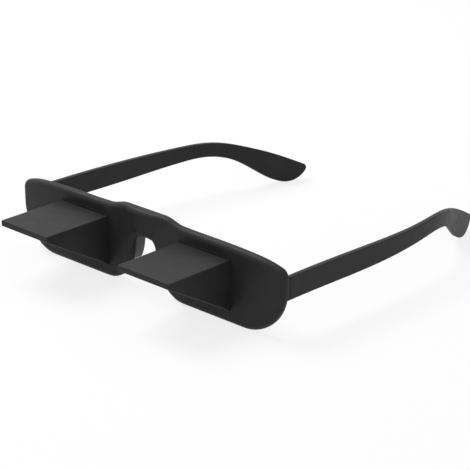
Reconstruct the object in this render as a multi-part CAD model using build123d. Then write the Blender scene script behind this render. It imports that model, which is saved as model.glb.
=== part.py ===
from build123d import *
import os
from math import asin, atan2, degrees, hypot, radians, tan

# Bed glasses with a prism in front of each eye, for reading while lying down.
# Lengths are in millimetres. Every piece is drawn in a working frame where x = 0 is
# the middle, y = 0 the front face with the temples towards +Y, and z = 0 the top of
# the hood plates. At the end everything is leaned back and set down on z = 0.

# Front frame; the prisms stand 63 apart, a usual adult pupil distance

front_width = 137.2
front_depth = 3.0
rim_rise = 5.3
rim_drop = 24.8
upper_corner_radius = 3.4
lower_corner_radius = 18.5
end_setback = 1.2
bend_margin = 0.4
front_edge_round = 2.0
back_edge_round = 0.6
end_block_width = 2.7
end_block_height = 8.2
end_block_depth = 2.9
end_block_step = 0.9
end_block_round = 0.4

# middle and width of each hood: shares of the front width
pupil_share = 0.4592
hood_share = 0.1888

# upper edge of the rim: shares of half the front width and of the rise
rim_top_shares = ((0.285, 1.0), (0.52, 0.965), (0.74, 0.9), (0.89, 0.7), (1.0, 0.24))

# Bridge and nose notch

bridge_rise = 7.1
bridge_flat_width = 19.0
bulge_depth = 1.0
bulge_foot_width = 9.2
bulge_drop = 4.2
notch_top_drop = 3.4
notch_top_width = 10.8
notch_foot_width = 44.0
notch_corner_radius = 4.4

# side of the notch: shares of its extra half width and of its height
notch_side_shares = (
    (0.0, 0.0),
    (0.036, 0.297),
    (0.108, 0.517),
    (0.229, 0.708),
    (0.398, 0.861),
    (0.578, 0.947),
    (1.0, 1.0),
)

# Hoods

hood_reach = 30.1
plate_thickness = 2.2
cheek_thickness = 1.8
tip_wall = 1.2
sill_thickness = 1.6
prism_angle = 30.0
hood_edge_round = 0.5
flange_width = 1.5
flange_thickness = 1.2
collar_height = 0.7
collar_depth = 0.35

# Prisms

cushion_thickness = 0.4
film_thickness = 0.2
prism_setback = 0.6
prism_tip_height = 0.8
film_margin = 0.5

# Rear bezels

bezel_thickness = 1.5
bezel_side_width = 4.7
bezel_end_width = 3.2
bezel_lip = 1.0
bezel_corner_radius = 3.0
bezel_edge_round = 0.3
aperture_corner_radius = 2.0
bezel_screw_pitch = 10.0

# Nose pads

pad_height = 10.2
pad_top_drop = 4.6
pad_top_width = 3.8
pad_foot_width = 3.0
pad_top_spacing = 9.6
pad_middle_spacing = 10.3
pad_foot_spacing = 13.8
pad_depth = 4.9
pad_seat_depth = 1.1
pad_round = 1.3
pad_peg_radius = 0.7
pad_peg_length = 1.0
pad_peg_pitch = 4.0
pad_peg_spacing = 16.0

# Temples

temple_thickness = 2.4
temple_height = 8.7
temple_top_drop = 1.9
temple_side_step = 1.2
temple_straight = 18.0
temple_reach = 136.4
temple_tip_inset = 21.4
temple_tip_drop = 22.0
temple_lobe_drop = 17.9
temple_edge_round = 0.5
temple_end_bulge = 2.0
temple_tip_round = 2.0
butt_gap = 0.25

# plan of the middle line: shares of the reach and of the inset
temple_plan_shares = (
    (0.343, 0.005),
    (0.49, 0.045),
    (0.617, 0.15),
    (0.725, 0.335),
    (0.811, 0.575),
    (1.03, 1.1),
)

# upper and lower edge: shares of the reach and of the drop at the tip or lobe
temple_top_shares = (
    (0.343, 0.055),
    (0.571, 0.114),
    (0.708, 0.186),
    (0.813, 0.388),
    (0.888, 0.578),
    (0.999, 0.925),
)
temple_low_shares = (
    (0.343, 0.047),
    (0.571, 0.017),
    (0.67, 0.037),
    (0.755, 0.23),
    (0.838, 0.66),
    (0.925, 0.985),
)

# Hinges

barrel_radius = 1.4
barrel_gap = 0.2
hinge_height = 7.2
knuckle_gap = 0.1
leaf_thickness = 0.8
leaf_height = 6.2
leaf_corner_radius = 1.0
front_leaf_length = 7.0
temple_leaf_start = 1.7
temple_leaf_length = 9.0
hinge_pin_radius = 0.6
hinge_pin_fit = 0.04
hinge_pin_head_radius = 1.0
hinge_pin_head_height = 0.5

# Small screws

screw_head_radius = 1.1
screw_head_height = 0.6
screw_shank_radius = 0.6
screw_hole_fit = 0.03
screw_slot_width = 0.3
screw_slot_depth = 0.25
bezel_screw_length = 3.6
front_leaf_screw_length = 2.8
temple_leaf_screw_length = 2.2
leaf_screw_pitch = 3.4
leaf_screw_edge = 1.8

# Fits and cuts

seat_gap = 0.1
prism_gap = 0.05
bulge_settle = 0.05
edge_search = 0.3
facing_share = 0.9
overrun = 1.0
plan_steps = 12
lean_rounds = 6

# Positions that follow from the sizes

front_half = front_width / 2
hood_centre = front_width * pupil_share / 2
hood_half = front_width * hood_share / 2
hood_slope = tan(radians(prism_angle))
hood_drop = plate_thickness + hood_reach * hood_slope
flange_front = front_depth - flange_thickness
bezel_half = hood_half + bezel_side_width
bend_x = hood_centre + bezel_half + bend_margin
bend_radius = ((front_half - bend_x) ** 2 + end_setback ** 2) / (2 * end_setback)
bezel_top = bezel_end_width
bezel_low = -hood_drop - bezel_end_width
bezel_middle = (bezel_top + bezel_low) / 2
bezel_back = front_depth + bezel_thickness
prism_half = hood_half - cheek_thickness - prism_gap
hood_floor = -hood_drop - flange_width
prism_top = -plate_thickness - cushion_thickness - film_thickness
prism_low = sill_thickness - hood_drop
glass_rise = prism_setback * hypot(1, hood_slope)
tip_rise = -prism_top - plate_thickness + prism_tip_height + glass_rise
tip_y = tip_rise / hood_slope - hood_reach
butt_y = front_depth + end_block_depth + butt_gap
temple_x = front_half - temple_side_step - temple_thickness / 2
temple_inner_x = temple_x - temple_thickness / 2
hinge_x = temple_inner_x - barrel_gap - barrel_radius
hinge_y = butt_y
hinge_z = -temple_top_drop - temple_height / 2
block_outer_x = front_half - end_block_step
block_inner_x = block_outer_x - end_block_width
knuckle_height = (hinge_height - 2 * knuckle_gap) / 3


def block(x_low, x_high, y_low, y_high, z_low, z_high):
    middle = Pos((x_low + x_high) / 2, (y_low + y_high) / 2, (z_low + z_high) / 2)
    return middle * Box(x_high - x_low, y_high - y_low, z_high - z_low)


def front_slab(sketch, y_low, y_high):
    # a sketch drawn in x and z, made solid from y_low back to y_high
    return Pos(0, y_high, 0) * extrude(Plane.XZ * sketch, y_high - y_low)


def side_slab(sketch, half_width):
    # a sketch drawn in y and z, made solid to both sides of x = 0
    return extrude(Plane.YZ * sketch, half_width, both=True)


def mirrored(shape):
    return mirror(shape, Plane.YZ)


def shared_points(shares, start, reach, drop):
    return [(start[0] + reach * along, start[1] - drop * down) for along, down in shares]


# Small screws, drawn with the head face at z = 0 and the shank down

def screw(length, shank_radius, slot):
    head = Pos(0, 0, -screw_head_height / 2) * Cone(shank_radius, screw_head_radius, screw_head_height)
    shank = Pos(0, 0, -length / 2) * Cylinder(shank_radius, length)
    body = head + shank
    if slot:
        width = 2 * screw_head_radius
        body -= block(-width, width, -screw_slot_width / 2, screw_slot_width / 2, -screw_slot_depth, overrun)
    return body


def screw_hole(length):
    return screw(length + seat_gap, screw_shank_radius + screw_hole_fit, False)


def edges_near(shape, x, z):
    # edges running along Y that pass close to one point of the front view
    found = []
    for edge in shape.edges().filter_by(Axis.Y):
        middle = edge.center()
        if hypot(middle.X - x, middle.Z - z) < edge_search:
            found.append(edge)
    return found


# Front frame

def front_outline():
    top = shared_points(rim_top_shares, (0, 0), front_half, -rim_rise)
    middle_top = (0, bridge_rise)
    middle_low = (0, -rim_drop)
    corner_low = (front_half, -rim_drop)
    bridge_end = (bridge_flat_width / 2, bridge_rise)
    edges = [
        Line(middle_low, middle_top),
        Line(middle_top, bridge_end),
        Spline(bridge_end, top[0], tangents=((1, 0), (1, 0))),
        Spline(*top),
        Line(top[-1], corner_low),
        Line(corner_low, middle_low),
    ]
    return make_face(edges)


def front_band():
    # the front seen from above, flat between the bezels and bent back at the ends
    turn = degrees(asin((front_half - bend_x + overrun) / bend_radius))
    front_arc = JernArc((bend_x, 0), (1, 0), bend_radius, turn)
    back_arc = JernArc((bend_x, front_depth), (1, 0), bend_radius - front_depth, turn)
    edges = [
        Line((0, 0), (bend_x, 0)),
        front_arc,
        Line(front_arc @ 1, back_arc @ 1),
        back_arc,
        Line((bend_x, front_depth), (0, front_depth)),
        Line((0, front_depth), (0, 0)),
    ]
    low = -rim_drop - overrun
    return Pos(0, 0, low) * extrude(make_face(edges), bridge_rise + overrun - low)


def face_border(shape, facing):
    # the edges around all faces that look along +Y or -Y, without the seams between them
    found = []
    for face in shape.faces():
        if face.normal_at().Y * facing > facing_share:
            found += face.edges()
    return [edge for edge in found if found.count(edge) == 1]


def nose_notch():
    # cutter for the open notch between the two eyes
    half_top = notch_top_width / 2
    extra = notch_foot_width / 2 - half_top
    side = shared_points(notch_side_shares, (half_top, -notch_top_drop), extra, rim_drop - notch_top_drop)
    below = -rim_drop - overrun
    edges = [
        Line((0, below), (0, -notch_top_drop)),
        Line((0, -notch_top_drop), side[0]),
        Spline(*side, tangents=((0, -1), (1, 0))),
        Line(side[-1], (side[-1][0], below)),
        Line((side[-1][0], below), (0, below)),
    ]
    half = front_slab(make_face(edges), -bulge_depth - overrun, front_depth + overrun)
    cutter = half + mirrored(half)
    corners = edges_near(cutter, half_top, -notch_top_drop) + edges_near(cutter, -half_top, -notch_top_drop)
    return fillet(corners, notch_corner_radius)


def bridge_bulge(notch):
    # a face that swells forward across the bridge, between two slanting creases
    bulge_back = front_depth - back_edge_round
    sections = []
    for width, height in ((bulge_foot_width, -bulge_drop), (bridge_flat_width, bridge_rise)):
        left = (-width / 2, 0)
        right = (width / 2, 0)
        swell = ThreePointArc(left, (0, -bulge_depth), right)
        back = Polyline(right, (width / 2, bulge_back), (-width / 2, bulge_back), left)
        sections.append(Pos(0, 0, height) * make_face([swell, back]))
    bulge = loft(sections, ruled=True) - notch
    swollen = [edge for edge in bulge.edges() if edge.center().Y < -bulge_depth / 4]
    return fillet(swollen, front_edge_round)


def end_block(side):
    block_low = hinge_z - end_block_height / 2
    block_high = hinge_z + end_block_height / 2
    back = front_depth + end_block_depth
    body = block(block_inner_x, block_outer_x, front_depth / 2, back, block_low, block_high)
    outer = [edge for edge in body.edges() if edge.center().Y > front_depth]
    outer = [edge for edge in outer if edge.center().X > block_inner_x + edge_search]
    body = fillet(outer, end_block_round)
    return body if side > 0 else mirrored(body)


def leaf_seat():
    # flat pocket in the bent back of the frame, under the hinge leaf
    outer = block_inner_x
    inner = hinge_x - barrel_radius - front_leaf_length - seat_gap
    high = hinge_z + hinge_height / 2 + seat_gap
    low = hinge_z - hinge_height / 2 - seat_gap
    return block(inner, outer, front_depth, front_depth + end_block_depth + overrun, low, high)


def hood_window(centre):
    # hole for the hood, with a wider step behind for its flange
    gap = seat_gap
    half = hood_half + gap
    hole = block(centre - half, centre + half, -overrun, front_depth + overrun, -hood_drop - gap, gap)
    half += flange_width
    low = hood_floor - gap
    step = block(centre - half, centre + half, flange_front, front_depth + overrun, low, flange_width + gap)
    return hole + step


def front_frame():
    half = front_slab(front_outline(), -overrun, front_depth + end_setback + overrun) & front_band()
    half = fillet(edges_near(half, front_half, rim_rise * rim_top_shares[-1][1]), upper_corner_radius)
    half = fillet(edges_near(half, front_half, -rim_drop), lower_corner_radius)
    notch = nose_notch()
    frame = half + mirrored(half) - notch
    frame = fillet(face_border(frame, -1), front_edge_round)
    frame = fillet(face_border(frame, 1), back_edge_round)
    # a little lower than the frame's own walls, since the two don't join where walls coincide
    frame += Pos(0, 0, -bulge_settle) * bridge_bulge(notch)
    for side in (1, -1):
        frame += end_block(side)
        frame -= leaf_seat() if side > 0 else mirrored(leaf_seat())
        frame -= hood_window(side * hood_centre)
        frame -= pad_seat(side)
        for place in bezel_screw_places(side):
            frame -= place * screw_hole(bezel_screw_length)
        for place in front_leaf_screw_places(side):
            frame -= place * screw_hole(front_leaf_screw_length)
    return frame


# Hoods, each drawn at x = 0

def hood():
    profile = Polygon(
        (-hood_reach, 0),
        (front_depth, 0),
        (front_depth, -hood_drop),
        (0, -hood_drop),
        (-hood_reach, -plate_thickness),
        align=None,
    )
    body = side_slab(profile, hood_half)
    low_edges = [edge for edge in body.edges() if edge.center().Y < -seat_gap]
    body = fillet(low_edges, hood_edge_round)
    flange_half = hood_half + flange_width
    body += block(-flange_half, flange_half, flange_front, front_depth, hood_floor, flange_width)
    body += block(-hood_half, hood_half, -collar_depth, 0, -plate_thickness, collar_height)
    tip = tip_wall - hood_reach
    below = -hood_drop - overrun
    inner = Polygon(
        (tip, -plate_thickness),
        (front_depth + overrun, -plate_thickness),
        (front_depth + overrun, prism_low),
        (0, prism_low),
        (0, below),
        (tip, below),
        align=None,
    )
    return body - side_slab(inner, hood_half - cheek_thickness)


def prism():
    slope_y = (-prism_low - plate_thickness + glass_rise) / hood_slope - hood_reach
    profile = Polygon(
        (tip_y, prism_top),
        (front_depth, prism_top),
        (front_depth, prism_low),
        (slope_y, prism_low),
        (tip_y, prism_top - prism_tip_height),
        align=None,
    )
    return side_slab(profile, prism_half)


def film():
    half = prism_half - film_margin
    front = tip_y + film_margin
    back = front_depth - film_margin
    return block(-half, half, front, back, prism_top, prism_top + film_thickness)


def cushion():
    half = prism_half - film_margin
    front = tip_y + film_margin
    back = front_depth - film_margin
    return block(-half, half, front, back, prism_top + film_thickness, -plate_thickness)


# Rear bezels, each drawn at x = 0

def bezel_screw_places(side):
    across = hood_half + flange_width + bezel_lip + screw_shank_radius
    places = []
    for x in (-across, across):
        for z in (-bezel_screw_pitch / 2, bezel_screw_pitch / 2):
            places.append(Pos(side * hood_centre + x, bezel_back, bezel_middle + z) * Rot(-90, 0, 0))
    return places


def bezel(side):
    height = bezel_top - bezel_low
    outer = Pos(0, bezel_middle) * RectangleRounded(2 * bezel_half, height, bezel_corner_radius)
    body = front_slab(outer, front_depth, bezel_back)
    body = fillet(body.faces().sort_by(Axis.Y)[-1].edges(), bezel_edge_round)
    width = 2 * (prism_half - bezel_lip)
    height = prism_top - prism_low - 2 * bezel_lip
    opening = Pos(0, (prism_top + prism_low) / 2) * RectangleRounded(width, height, aperture_corner_radius)
    body -= front_slab(opening, front_depth - overrun, bezel_back + overrun)
    body = Pos(side * hood_centre, 0, 0) * body
    for place in bezel_screw_places(side):
        body -= place * screw_hole(bezel_screw_length)
    return body


# Nose pads, drawn on the +X side, which is the wearer's left, and mirrored

def pad_outline(gap):
    top = gap - pad_top_drop
    foot = -pad_top_drop - pad_height - gap
    middle = -pad_top_drop - pad_height / 2
    inner_top = (pad_top_spacing / 2 - gap, top)
    inner_foot = (pad_foot_spacing / 2 - gap, foot)
    outer_top = (pad_top_spacing / 2 + pad_top_width + gap, top)
    outer_foot = (pad_foot_spacing / 2 + pad_foot_width + gap, foot)
    edges = [
        ThreePointArc(inner_top, (pad_middle_spacing / 2 - gap, middle), inner_foot),
        Line(inner_foot, outer_foot),
        Line(outer_foot, outer_top),
        Line(outer_top, inner_top),
    ]
    return make_face(edges)


def pad_shape(gap, y_low, y_high):
    body = front_slab(pad_outline(gap), y_low, y_high)
    return fillet(body.edges().filter_by(Axis.Y), pad_round)


def pad_pegs(gap, length):
    middle = -pad_top_drop - pad_height / 2
    seat_y = front_depth - pad_seat_depth
    pegs = []
    for z in (middle - pad_peg_pitch / 2, middle + pad_peg_pitch / 2):
        peg = Cylinder(pad_peg_radius + gap, 2 * length)
        pegs.append(Pos(pad_peg_spacing / 2, seat_y, z) * Rot(90, 0, 0) * peg)
    return pegs


def pad_seat(side):
    seat_y = front_depth - pad_seat_depth
    seat = pad_shape(seat_gap, seat_y, front_depth + overrun)
    for peg in pad_pegs(screw_hole_fit, pad_peg_length + seat_gap):
        seat += peg
    return seat if side > 0 else mirrored(seat)


def nose_pad(side):
    seat_y = front_depth - pad_seat_depth
    body = pad_shape(0, seat_y, seat_y + pad_depth)
    body = fillet(body.faces().sort_by(Axis.Y)[-1].edges(), pad_round)
    for peg in pad_pegs(0, pad_peg_length):
        body += peg
    return body if side > 0 else mirrored(body)


# Hinges, drawn on the +X side and mirrored

def knuckle(z_low):
    middle = z_low + knuckle_height / 2
    return Pos(hinge_x, hinge_y, middle) * Cylinder(barrel_radius, knuckle_height)


def pin_hole():
    bore = Cylinder(hinge_pin_radius + hinge_pin_fit, hinge_height + 2 * overrun)
    return Pos(hinge_x, hinge_y, hinge_z) * bore


def front_leaf_screw_places(side):
    far = hinge_x - barrel_radius - leaf_screw_edge
    places = []
    for x in (far, far - leaf_screw_pitch):
        places.append(Pos(side * x, front_depth + leaf_thickness, hinge_z) * Rot(-90, 0, 0))
    return places


def front_leaf(side):
    outer = hinge_x + barrel_radius
    inner = hinge_x - barrel_radius - front_leaf_length
    width = outer - inner
    sketch = Pos((outer + inner) / 2, hinge_z) * RectangleRounded(width, leaf_height, leaf_corner_radius)
    body = front_slab(sketch, front_depth, front_depth + leaf_thickness)
    lowest = hinge_z - hinge_height / 2
    for z_low in (lowest, lowest + 2 * (knuckle_height + knuckle_gap)):
        arm = block(hinge_x - barrel_radius, outer, front_depth, hinge_y, z_low, z_low + knuckle_height)
        body += arm + knuckle(z_low)
    body -= pin_hole()
    for place in front_leaf_screw_places(1):
        body -= place * screw_hole(front_leaf_screw_length)
    return body if side > 0 else mirrored(body)


def temple_leaf_screw_places(side):
    near_y = hinge_y + temple_leaf_start + 2 * leaf_screw_edge
    places = []
    for y in (near_y, near_y + leaf_screw_pitch):
        turn = Rot(0, -90, 0) if side > 0 else Rot(0, 90, 0)
        places.append(Pos(side * (temple_inner_x - leaf_thickness), y, hinge_z) * turn)
    return places


def temple_leaf(side):
    start = hinge_y + temple_leaf_start
    end = start + temple_leaf_length
    plate = Pos((start + end) / 2, hinge_z) * RectangleRounded(end - start, leaf_height, leaf_corner_radius)
    body = Pos(temple_inner_x - leaf_thickness, 0, 0) * extrude(Plane.YZ * plate, leaf_thickness)
    z_low = hinge_z - knuckle_height / 2
    body += block(hinge_x, temple_inner_x, hinge_y, start + leaf_screw_edge, z_low, z_low + knuckle_height)
    body += knuckle(z_low)
    body -= pin_hole()
    for place in temple_leaf_screw_places(1):
        body -= place * screw_hole(temple_leaf_screw_length)
    return body if side > 0 else mirrored(body)


def hinge_pin(side):
    top = hinge_z + hinge_height / 2
    shank = Pos(hinge_x, hinge_y, hinge_z) * Cylinder(hinge_pin_radius, hinge_height)
    head = Cylinder(hinge_pin_head_radius, hinge_pin_head_height)
    head = Pos(hinge_x, hinge_y, top + hinge_pin_head_height / 2) * head
    width = 2 * hinge_pin_head_radius
    half = screw_slot_width / 2
    low = top + hinge_pin_head_height - screw_slot_depth
    slot = block(hinge_x - width, hinge_x + width, hinge_y - half, hinge_y + half, low, low + overrun)
    body = shank + head - slot
    return body if side > 0 else mirrored(body)


# Temples, drawn on the +X side and mirrored

def temple_band():
    # the temple seen from above, straight at the hinge and bent inwards further back
    bend = [(temple_x, butt_y + temple_straight)]
    for along, inward in temple_plan_shares:
        bend.append((temple_x - temple_tip_inset * inward, butt_y + temple_reach * along))
    path = Spline(*bend, tangents=((0, 1), (bend[-1][0] - bend[-2][0], bend[-1][1] - bend[-2][1])))
    sides = []
    for offset in (temple_thickness / 2, -temple_thickness / 2):
        points = []
        for step in range(plan_steps + 1):
            place = path.position_at(step / plan_steps)
            heading = path.tangent_at(step / plan_steps)
            points.append((place.X + heading.Y * offset, place.Y - heading.X * offset))
        sides.append(points)
    outer, inner = sides
    outer_start = (outer[0][0], butt_y)
    inner_start = (inner[0][0], butt_y)
    edges = [
        Line(inner_start, outer_start),
        Line(outer_start, outer[0]),
        Spline(*outer),
        Line(outer[-1], inner[-1]),
        Spline(*inner),
        Line(inner[0], inner_start),
    ]
    return make_face(edges)


def temple_side():
    # the temple seen from the side, a long arm that widens into a drooping paddle
    top_start = (butt_y, -temple_top_drop)
    low_start = (butt_y, -temple_top_drop - temple_height)
    top = shared_points(temple_top_shares, top_start, temple_reach, temple_tip_drop)
    low = shared_points(temple_low_shares, low_start, temple_reach, temple_lobe_drop)
    top_end = (top[-1][0] - top[-2][0], top[-1][1] - top[-2][1])
    chord = Line(top[-1], low[-1])
    heading = chord.tangent_at(0)
    bulged = chord.position_at(1 / 2) + Vector(-heading.Y, heading.X) * temple_end_bulge
    end = ThreePointArc(top[-1], bulged, low[-1])
    low_end = end.tangent_at(1) * -1
    edges = [
        Spline(top_start, *top, tangents=((1, 0), top_end)),
        end,
        Spline(low_start, *low, tangents=((1, 0), (low_end.X, low_end.Y))),
        Line(low_start, top_start),
    ]
    return make_face(edges)


def temple(side):
    low = -temple_top_drop - temple_height - temple_lobe_drop - overrun
    band = Pos(0, 0, low) * extrude(temple_band(), -low)
    outline = extrude(Plane.YZ * temple_side(), front_half + overrun)
    outline = fillet(outline.edges().filter_by(Axis.X).sort_by(Axis.Y)[-1], temple_tip_round)
    body = band & outline
    body = fillet(body.edges(), temple_edge_round)
    for place in temple_leaf_screw_places(1):
        body -= place * screw_hole(temple_leaf_screw_length)
    return body if side > 0 else mirrored(body)


# Assembly

def set_of_screws(places, length):
    return Compound(children=[place * screw(length, screw_shank_radius, True) for place in places])


def working_pieces():
    # every piece in the working frame; left and right are those of the wearer
    pieces = {"front_frame": front_frame()}
    shared = {"hood": hood(), "prism": prism(), "prism_mirror": film(), "mirror_cushion": cushion()}
    for side, name in ((1, "left"), (-1, "right")):
        for kind, shape in shared.items():
            pieces[f"{kind}_{name}"] = Pos(side * hood_centre, 0, 0) * shape
        pieces[f"rear_bezel_{name}"] = bezel(side)
        places = bezel_screw_places(side)
        pieces[f"bezel_screws_{name}"] = set_of_screws(places, bezel_screw_length)
        pieces[f"nose_pad_{name}"] = nose_pad(side)
        pieces[f"front_hinge_leaf_{name}"] = front_leaf(side)
        places = front_leaf_screw_places(side)
        pieces[f"front_leaf_screws_{name}"] = set_of_screws(places, front_leaf_screw_length)
        pieces[f"hinge_pin_{name}"] = hinge_pin(side)
        pieces[f"temple_{name}"] = temple(side)
        pieces[f"temple_hinge_leaf_{name}"] = temple_leaf(side)
        places = temple_leaf_screw_places(side)
        pieces[f"temple_leaf_screws_{name}"] = set_of_screws(places, temple_leaf_screw_length)
    return pieces


def resting_place(pieces):
    # the turn and shift that set the lower rim and both paddles down on z = 0
    lean = 0
    for _ in range(lean_rounds):
        rim = (Rot(lean, 0, 0) * pieces["front_frame"]).bounding_box()
        paddle = (Rot(lean, 0, 0) * pieces["temple_left"]).bounding_box()
        lean += degrees(atan2(rim.min.Z - paddle.min.Z, temple_reach))
    turned = [(Rot(lean, 0, 0) * shape).bounding_box() for shape in pieces.values()]
    y_low = min(box.min.Y for box in turned)
    y_high = max(box.max.Y for box in turned)
    z_low = min(box.min.Z for box in turned)
    return Pos(0, -(y_low + y_high) / 2, -z_low) * Rot(lean, 0, 0)


def main():
    os.makedirs("parts", exist_ok=True)
    pieces = working_pieces()
    place = resting_place(pieces)
    for name, shape in pieces.items():
        export_step(place * shape, f"parts/{name}.step")


if __name__ == "__main__":
    main()
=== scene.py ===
import math

import bmesh
import bpy
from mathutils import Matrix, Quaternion, Vector

# Bed glasses with a prism hood in front of each eye. The solids come from the frame,
# and this file gives them their finishes, a plain stage and the camera.

bl_info = {
    "name": "Prism bed glasses",
    "version": (1, 0, 0),
    "blender": (4, 5, 0),
    "location": "3D View > Sidebar > Bed glasses",
    "description": "Finishes for prism bed glasses, with a plain stage and camera",
    "category": "Object",
}

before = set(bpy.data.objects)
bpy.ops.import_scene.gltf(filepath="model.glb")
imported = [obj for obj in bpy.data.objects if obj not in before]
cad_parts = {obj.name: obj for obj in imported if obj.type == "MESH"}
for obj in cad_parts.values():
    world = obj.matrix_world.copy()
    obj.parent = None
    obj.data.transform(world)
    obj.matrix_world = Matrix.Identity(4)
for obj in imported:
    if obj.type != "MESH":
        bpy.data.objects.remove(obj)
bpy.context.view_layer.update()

MILLIMETRE = 0.001
WHITE = (1.0, 1.0, 1.0, 1.0)

# A Mix node repeats its sockets' names for each kind of value, so colours go by number
MIX_AMOUNT, MIX_FIRST, MIX_SECOND = 0, 6, 7
MIX_RESULT = 2

# Finishes of the hidden pieces, and how much duller the bezels are than the hoods
SILVER_COLOUR = (0.85, 0.86, 0.88)
FOAM_COLOUR = (0.05, 0.05, 0.05)
BEZEL_DULLING = 0.1

# The stage. The floor lies just under the glasses, so that no faces coincide
FLOOR_DROP = 0.02 * MILLIMETRE
FLOOR_PAINT = (0.95, 0.95, 0.95, 1.0)
LAMP_TARGET = (0.0, 0.0, 0.03)
SENSOR_WIDTH = 36.0
NEAREST_SEEN = 0.01


# Node helpers

def set_inputs(tree, node, inputs):
    """Fills sockets, by name or number, with a link to another or a plain value."""
    for name, value in inputs.items():
        if isinstance(value, bpy.types.NodeSocket):
            tree.links.new(value, node.inputs[name])
        else:
            node.inputs[name].default_value = value


def add_node(tree, kind, inputs, **settings):
    """Adds a node, changes its settings and fills its sockets."""
    node = tree.nodes.new(kind)
    for name, value in settings.items():
        setattr(node, name, value)
    set_inputs(tree, node, inputs)
    return node


def empty_tree(owner):
    """The node tree of a new material or world, with nothing in it."""
    owner.use_nodes = True
    owner.node_tree.nodes.clear()
    return owner.node_tree


def new_finish(name):
    """A material with only its shader, and the piece's own coordinates."""
    material = bpy.data.materials.new(name)
    tree = empty_tree(material)
    shader = add_node(tree, "ShaderNodeBsdfPrincipled", {})
    add_node(tree, "ShaderNodeOutputMaterial", {"Surface": shader.outputs["BSDF"]})
    place = add_node(tree, "ShaderNodeTexCoord", {}).outputs["Object"]
    return material, tree, shader, place


def calculate(tree, operation, *values):
    """The result of one sum on numbers or sockets."""
    node = add_node(tree, "ShaderNodeMath", dict(enumerate(values)), operation=operation)
    return node.outputs[0]


def noise(tree, place, size, detail=2.0, distortion=0.0):
    """Noise whose blotches are about the given size across."""
    node = add_node(
        tree,
        "ShaderNodeTexNoise",
        {"Vector": place, "Scale": 1.0 / size, "Detail": detail, "Distortion": distortion},
    )
    return node.outputs["Fac"]


def spread(tree, pattern, low, high, start=0.3, stop=0.7):
    """Stretches the part of a pattern from start to stop to run from low to high."""
    node = add_node(
        tree,
        "ShaderNodeMapRange",
        {"Value": pattern, "From Min": start, "From Max": stop, "To Min": low, "To Max": high},
    )
    return node.outputs["Result"]


def shade(colour, factor):
    """The same colour, lighter or darker."""
    return (colour[0] * factor, colour[1] * factor, colour[2] * factor, 1.0)


def mottled(tree, pattern, colour, darkest, lightest, start=0.3, stop=0.7):
    """The colour, getting lighter from start to stop of the pattern."""
    inputs = {
        MIX_AMOUNT: spread(tree, pattern, 0.0, 1.0, start, stop),
        MIX_FIRST: shade(colour, darkest),
        MIX_SECOND: shade(colour, lightest),
    }
    return add_node(tree, "ShaderNodeMix", inputs, data_type="RGBA").outputs[MIX_RESULT]


def bumped(tree, height, depth, strength, normal=None):
    """A surface normal that follows a height pattern of the given depth."""
    inputs = {"Height": height, "Distance": depth, "Strength": strength}
    if normal is not None:
        inputs["Normal"] = normal
    return add_node(tree, "ShaderNodeBump", inputs).outputs["Normal"]


# Finishes

def moulded_plastic(name, colour, roughness, grain, specular):
    """Satin plastic from a textured mould: fine grain, slow waviness and rubbed patches."""
    material, tree, shader, place = new_finish(name)
    flow = noise(tree, place, size=14 * MILLIMETRE, detail=3.0, distortion=0.6)
    rubbed = noise(tree, place, size=3.2 * MILLIMETRE, detail=4.0)
    fine = noise(tree, place, size=grain)
    patches = spread(tree, rubbed, low=-0.035, high=0.035)
    slow = spread(tree, flow, low=roughness - 0.03, high=roughness + 0.03)
    wave = bumped(tree, flow, depth=0.06 * MILLIMETRE, strength=0.35)
    inputs = {
        "Base Color": mottled(tree, flow, colour, darkest=0.86, lightest=1.14),
        "Roughness": calculate(tree, "ADD", slow, patches),
        "Normal": bumped(tree, fine, depth=0.02 * MILLIMETRE, strength=0.4, normal=wave),
        "Specular IOR Level": specular,
    }
    set_inputs(tree, shader, inputs)
    return material


def soft_rubber(name, colour):
    """Silicone rubber of the nose pads: soft sheen, fine skin and faint mottling."""
    material, tree, shader, place = new_finish(name)
    cloud = noise(tree, place, size=2.5 * MILLIMETRE, detail=3.0)
    fine = noise(tree, place, size=0.12 * MILLIMETRE, detail=1.0)
    inputs = {
        "Base Color": mottled(tree, cloud, colour, darkest=0.85, lightest=1.2),
        "Roughness": spread(tree, cloud, low=0.5, high=0.62),
        "Normal": bumped(tree, fine, depth=0.01 * MILLIMETRE, strength=0.5),
        "Specular IOR Level": 0.3,
    }
    set_inputs(tree, shader, inputs)
    return material


def polished_glass(name, colour):
    """Optical glass: clear polished faces and finely ground sides."""
    material, tree, shader, place = new_finish(name)
    facing = place.node.outputs["Normal"]
    across = add_node(tree, "ShaderNodeSeparateXYZ", {"Vector": facing}).outputs["X"]
    sides = calculate(tree, "ABSOLUTE", across)
    smears = noise(tree, place, size=5 * MILLIMETRE, detail=5.0, distortion=1.5)
    film = spread(tree, smears, low=0.0, high=0.02, start=0.45, stop=0.8)
    ground = spread(tree, sides, low=0.0, high=0.5, start=0.6, stop=0.8)
    inputs = {
        "Base Color": shade(colour, 1.0),
        "Roughness": calculate(tree, "ADD", film, ground),
        "Transmission Weight": 1.0,
        "IOR": 1.52,
    }
    set_inputs(tree, shader, inputs)
    return material


def silvered_layer(name, colour):
    """Silvering on the glass, with the faint cloudiness of a real coat."""
    material, tree, shader, place = new_finish(name)
    cloud = noise(tree, place, size=6 * MILLIMETRE, detail=3.0)
    inputs = {
        "Base Color": mottled(tree, cloud, colour, darkest=0.94, lightest=1.0),
        "Roughness": spread(tree, cloud, low=0.02, high=0.06),
        "Metallic": 1.0,
    }
    set_inputs(tree, shader, inputs)
    return material


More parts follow.
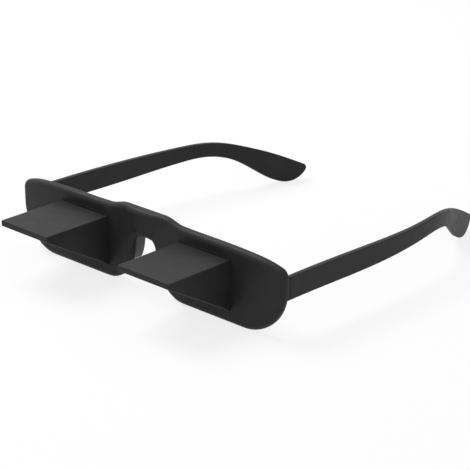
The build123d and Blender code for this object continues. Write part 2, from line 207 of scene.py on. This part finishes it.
def cell_foam(name, colour):
    """Closed-cell foam strip: matt, with small open pores whose hollows are darkened by painted
    shade.
    """
    material, tree, shader, place = new_finish(name)
    pore_size = 0.35 * MILLIMETRE
    cells = add_node(tree, "ShaderNodeTexVoronoi", {"Vector": place, "Scale": 1 / pore_size})
    pores = cells.outputs["Distance"]
    inputs = {
        # Painted shade: the colour darkens towards each cell's centre, where the bump sinks the
        # pore, and lightens on the walls between pores
        "Base Color": mottled(tree, pores, colour, darkest=0.6, lightest=1.2, start=0.1),
        "Normal": bumped(tree, pores, depth=0.08 * MILLIMETRE, strength=0.6),
        "Roughness": 0.9,
        "Specular IOR Level": 0.2,
    }
    set_inputs(tree, shader, inputs)
    return material


def brushed_steel(name, colour, roughness, run):
    """Bright steel with faint stains, and fine lines along the axis that run shortens."""
    material, tree, shader, place = new_finish(name)
    drawn = add_node(tree, "ShaderNodeMapping", {"Vector": place, "Scale": run}).outputs["Vector"]
    lines = noise(tree, drawn, size=0.12 * MILLIMETRE, detail=3.0)
    stains = noise(tree, place, size=2 * MILLIMETRE, detail=4.0)
    inputs = {
        "Base Color": mottled(tree, stains, colour, darkest=0.88, lightest=1.05),
        "Roughness": spread(tree, lines, low=roughness - 0.08, high=roughness + 0.08),
        "Normal": bumped(tree, lines, depth=0.01 * MILLIMETRE, strength=0.5),
        "Metallic": 1.0,
    }
    set_inputs(tree, shader, inputs)
    return material


def give_finish(material, names):
    """Puts one material in every slot of the named nodes."""
    for name in names:
        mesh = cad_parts[name].data
        if not mesh.materials:
            mesh.materials.append(material)
        for number in range(len(mesh.materials)):
            mesh.materials[number] = material


def both_sides(*kinds):
    """The left and the right node of each kind."""
    return [f"{kind}_{side}" for kind in kinds for side in ("left", "right")]


# Sizes and colours that a user may change

class GlassesFinish(bpy.types.PropertyGroup):
    frame_colour: bpy.props.FloatVectorProperty(
        name="Frame colour",
        description="Plastic of the front and the temples",
        subtype="COLOR",
        size=3,
        min=0.0,
        max=1.0,
        default=(0.02, 0.02, 0.0205),
    )
    hood_colour: bpy.props.FloatVectorProperty(
        name="Hood colour",
        description="Plastic of the two prism hoods",
        subtype="COLOR",
        size=3,
        min=0.0,
        max=1.0,
        default=(0.02, 0.02, 0.0205),
    )
    bezel_colour: bpy.props.FloatVectorProperty(
        name="Bezel colour",
        description="Plastic of the two frames behind the prisms",
        subtype="COLOR",
        size=3,
        min=0.0,
        max=1.0,
        default=(0.018, 0.018, 0.0185),
    )
    pad_colour: bpy.props.FloatVectorProperty(
        name="Pad colour",
        description="Rubber of the two nose pads",
        subtype="COLOR",
        size=3,
        min=0.0,
        max=1.0,
        default=(0.06, 0.06, 0.062),
    )
    glass_tint: bpy.props.FloatVectorProperty(
        name="Glass tint",
        description="Tint of the prism glass",
        subtype="COLOR",
        size=3,
        min=0.0,
        max=1.0,
        default=(0.95, 0.975, 0.965),
    )
    steel_colour: bpy.props.FloatVectorProperty(
        name="Steel colour",
        description="Steel of the hinges and small screws",
        subtype="COLOR",
        size=3,
        min=0.0,
        max=1.0,
        default=(0.55, 0.55, 0.56),
    )
    roughness: bpy.props.FloatProperty(
        name="Plastic roughness",
        description="How dull the black plastic is, from mirror to chalk",
        subtype="FACTOR",
        min=0.1,
        max=0.9,
        default=0.48,
    )
    specular: bpy.props.FloatProperty(
        name="Plastic shine",
        description="How much light the black plastic's surface turns back",
        subtype="FACTOR",
        min=0.0,
        max=1.0,
        default=0.14,
    )
    grain: bpy.props.FloatProperty(
        name="Plastic grain",
        description="Size of the fine grain that the mould leaves on the plastic",
        subtype="DISTANCE",
        unit="LENGTH",
        min=0.00005,
        max=0.002,
        precision=5,
        default=0.00028,
    )


class GlassesStage(bpy.types.PropertyGroup):
    floor_size: bpy.props.FloatProperty(
        name="Floor size",
        description="Length of each side of the square floor",
        subtype="DISTANCE",
        unit="LENGTH",
        min=1.0,
        max=50.0,
        default=12.0,
    )
    white_share: bpy.props.FloatProperty(
        name="Plain white share",
        description="How much of the floor's look is plain white, the rest being lit and shaded",
        subtype="FACTOR",
        min=0.0,
        max=1.0,
        default=0.8,
    )
    ambient: bpy.props.FloatProperty(
        name="Ambient light",
        description="Strength of the even light from all round",
        min=0.0,
        max=2.0,
        default=0.45,
    )
    aim: bpy.props.FloatVectorProperty(
        name="Aim",
        description="Point that the camera looks at",
        subtype="TRANSLATION",
        unit="LENGTH",
        size=3,
        precision=5,
        default=(0.05337, -0.06346, 0.03853),
    )
    azimuth: bpy.props.FloatProperty(
        name="Azimuth",
        description="Turn of the camera round the glasses from straight in front",
        subtype="ANGLE",
        unit="ROTATION",
        default=math.radians(42.9),
    )
    elevation: bpy.props.FloatProperty(
        name="Elevation",
        description="Height angle of the camera above the floor",
        subtype="ANGLE",
        unit="ROTATION",
        default=math.radians(20.527),
    )
    roll: bpy.props.FloatProperty(
        name="Roll",
        description="Small tilt of the camera about its own line of sight",
        subtype="ANGLE",
        unit="ROTATION",
        default=math.radians(1.118),
    )
    distance: bpy.props.FloatProperty(
        name="Distance",
        description="From the aim point to the camera",
        subtype="DISTANCE",
        unit="LENGTH",
        min=0.1,
        max=10.0,
        default=0.61738,
    )
    lens: bpy.props.FloatProperty(
        name="Lens",
        description="Focal length of the camera",
        subtype="DISTANCE_CAMERA",
        min=10.0,
        max=500.0,
        default=137.87,
    )


# Operators, one for each group of pieces

class GLASSES_OT_front(bpy.types.Operator):
    """Finish the front frame and the two temples in satin black plastic"""

    bl_idname = "glasses.front"
    bl_label = "Front and temples"

    def execute(self, context):
        choice = context.scene.glasses_finish
        material = moulded_plastic(
            "frame_plastic", choice.frame_colour, choice.roughness, choice.grain, choice.specular
        )
        give_finish(material, ["front_frame"] + both_sides("temple"))
        return {"FINISHED"}


class GLASSES_OT_hoods(bpy.types.Operator):
    """Finish the two prism hoods and the two bezels behind them"""

    bl_idname = "glasses.hoods"
    bl_label = "Hoods and bezels"

    def execute(self, context):
        choice = context.scene.glasses_finish
        hood = moulded_plastic(
            "hood_plastic", choice.hood_colour, choice.roughness, choice.grain, choice.specular
        )
        duller = choice.roughness + BEZEL_DULLING
        bezel = moulded_plastic(
            "bezel_plastic", choice.bezel_colour, duller, choice.grain, choice.specular
        )
        give_finish(hood, both_sides("hood"))
        give_finish(bezel, both_sides("rear_bezel"))
        return {"FINISHED"}


class GLASSES_OT_prisms(bpy.types.Operator):
    """Finish the prisms, their silvered layer and the cushion above it"""

    bl_idname = "glasses.prisms"
    bl_label = "Prisms"

    def execute(self, context):
        choice = context.scene.glasses_finish
        give_finish(polished_glass("prism_glass", choice.glass_tint), both_sides("prism"))
        give_finish(silvered_layer("silvering", SILVER_COLOUR), both_sides("prism_mirror"))
        give_finish(cell_foam("cushion_foam", FOAM_COLOUR), both_sides("mirror_cushion"))
        return {"FINISHED"}


class GLASSES_OT_pads(bpy.types.Operator):
    """Finish the two nose pads in soft rubber"""

    bl_idname = "glasses.pads"
    bl_label = "Nose pads"

    def execute(self, context):
        choice = context.scene.glasses_finish
        give_finish(soft_rubber("pad_rubber", choice.pad_colour), both_sides("nose_pad"))
        return {"FINISHED"}


class GLASSES_OT_hinges(bpy.types.Operator):
    """Finish the hinge leaves, the hinge pins and all small screws in steel"""

    bl_idname = "glasses.hinges"
    bl_label = "Hinges and screws"

    def execute(self, context):
        colour = context.scene.glasses_finish.steel_colour
        leaves = brushed_steel("hinge_steel", colour, roughness=0.32, run=(0.2, 1.0, 1.0))
        screws = brushed_steel("screw_steel", colour, roughness=0.26, run=(1.0, 1.0, 0.3))
        give_finish(leaves, both_sides("front_hinge_leaf", "temple_hinge_leaf"))
        kinds = ("hinge_pin", "bezel_screws", "front_leaf_screws", "temple_leaf_screws")
        give_finish(screws, both_sides(*kinds))
        return {"FINISHED"}


# Stage

def add_object(name, data):
    """A new object in the scene."""
    thing = bpy.data.objects.new(name, data)
    bpy.context.scene.collection.objects.link(thing)
    return thing


def seen_directly(tree):
    """1 for rays from the camera, or off gloss or through glass, and 0 for the rest."""
    ray = add_node(tree, "ShaderNodeLightPath", {}).outputs
    some = calculate(tree, "MAXIMUM", ray["Is Camera Ray"], ray["Is Glossy Ray"])
    return calculate(tree, "MAXIMUM", some, ray["Is Transmission Ray"])


def make_floor(size, white_share):
    """A pale floor that looks white and still takes the glasses' soft shadow."""
    mesh = bpy.data.meshes.new("floor")
    work = bmesh.new()
    bmesh.ops.create_grid(work, x_segments=1, y_segments=1, size=size / 2)
    bmesh.ops.translate(work, vec=(0, 0, -FLOOR_DROP), verts=work.verts)
    work.to_mesh(mesh)
    work.free()
    material = bpy.data.materials.new("floor_white")
    tree = empty_tree(material)
    share = calculate(tree, "MULTIPLY", seen_directly(tree), white_share)
    paint = add_node(tree, "ShaderNodeBsdfDiffuse", {"Color": FLOOR_PAINT})
    plain = add_node(tree, "ShaderNodeEmission", {"Color": WHITE, "Strength": 1.0})
    inputs = {0: share, 1: paint.outputs[0], 2: plain.outputs[0]}
    mixed = add_node(tree, "ShaderNodeMixShader", inputs)
    add_node(tree, "ShaderNodeOutputMaterial", {"Surface": mixed.outputs[0]})
    mesh.materials.append(material)
    add_object("floor", mesh)


def make_world(ambient):
    """White where it is seen, and an even ambient light everywhere else."""
    world = bpy.data.worlds.new("soft_room")
    tree = empty_tree(world)
    strength = add_node(
        tree,
        "ShaderNodeMapRange",
        {"Value": seen_directly(tree), "To Min": ambient, "To Max": 1.0},
    )
    inputs = {"Color": WHITE, "Strength": strength.outputs["Result"]}
    light = add_node(tree, "ShaderNodeBackground", inputs)
    add_node(tree, "ShaderNodeOutputWorld", {"Surface": light.outputs[0]})
    bpy.context.scene.world = world


def add_softbox(name, place, side, power):
    """A soft square lamp that faces the glasses."""
    lamp = bpy.data.lights.new(name, "AREA")
    lamp.shape = "SQUARE"
    lamp.size = side
    lamp.energy = power
    box = add_object(name, lamp)
    box.location = place
    box.rotation_mode = "QUATERNION"
    box.rotation_quaternion = (Vector(LAMP_TARGET) - Vector(place)).to_track_quat("-Z", "Y")


def add_camera(choice):
    """The camera of the photograph."""
    camera = bpy.data.cameras.new("camera")
    camera.lens = choice.lens
    camera.sensor_width = SENSOR_WIDTH
    camera.clip_start = NEAREST_SEEN
    level = math.cos(choice.elevation)
    outward = Vector((
        level * math.sin(choice.azimuth),
        -level * math.cos(choice.azimuth),
        math.sin(choice.elevation),
    ))
    upright = (-outward).to_track_quat("-Z", "Y")
    viewer = add_object("camera", camera)
    viewer.location = Vector(choice.aim) + choice.distance * outward
    viewer.rotation_mode = "QUATERNION"
    viewer.rotation_quaternion = upright @ Quaternion((0, 0, 1), choice.roll)
    bpy.context.scene.camera = viewer


class GLASSES_OT_stage(bpy.types.Operator):
    """Add the pale floor, the soft lights and the camera"""

    bl_idname = "glasses.stage"
    bl_label = "Stage"

    def execute(self, context):
        choice = context.scene.glasses_stage
        make_floor(choice.floor_size, choice.white_share)
        make_world(choice.ambient)
        add_softbox("top_softbox", place=(-0.75, -0.15, 1.15), side=0.8, power=14.0)
        add_softbox("side_softbox", place=(1.8, -1.5, 1.35), side=1.4, power=8.0)
        add_camera(choice)
        context.scene.view_settings.view_transform = "Standard"
        return {"FINISHED"}


class GLASSES_PT_panel(bpy.types.Panel):
    """The sizes and colours, and a button for each group of pieces"""

    bl_label = "Prism bed glasses"
    bl_idname = "GLASSES_PT_panel"
    bl_space_type = "VIEW_3D"
    bl_region_type = "UI"
    bl_category = "Bed glasses"

    def draw(self, context):
        for choice in (context.scene.glasses_finish, context.scene.glasses_stage):
            box = self.layout.box()
            for name in choice.__annotations__:
                box.prop(choice, name)
        for operator in OPERATORS:
            self.layout.operator(operator.bl_idname)


OPERATORS = (
    GLASSES_OT_front,
    GLASSES_OT_hoods,
    GLASSES_OT_prisms,
    GLASSES_OT_pads,
    GLASSES_OT_hinges,
    GLASSES_OT_stage,
)
CLASSES = (GlassesFinish, GlassesStage) + OPERATORS + (GLASSES_PT_panel,)


def register():
    for one in CLASSES:
        bpy.utils.register_class(one)
    bpy.types.Scene.glasses_finish = bpy.props.PointerProperty(type=GlassesFinish)
    bpy.types.Scene.glasses_stage = bpy.props.PointerProperty(type=GlassesStage)


def unregister():
    del bpy.types.Scene.glasses_stage
    del bpy.types.Scene.glasses_finish
    for one in reversed(CLASSES):
        bpy.utils.unregister_class(one)


def main():
    register()
    bpy.ops.glasses.front()
    bpy.ops.glasses.hoods()
    bpy.ops.glasses.prisms()
    bpy.ops.glasses.pads()
    bpy.ops.glasses.hinges()
    bpy.ops.glasses.stage()


if __name__ == "__main__":
    main()
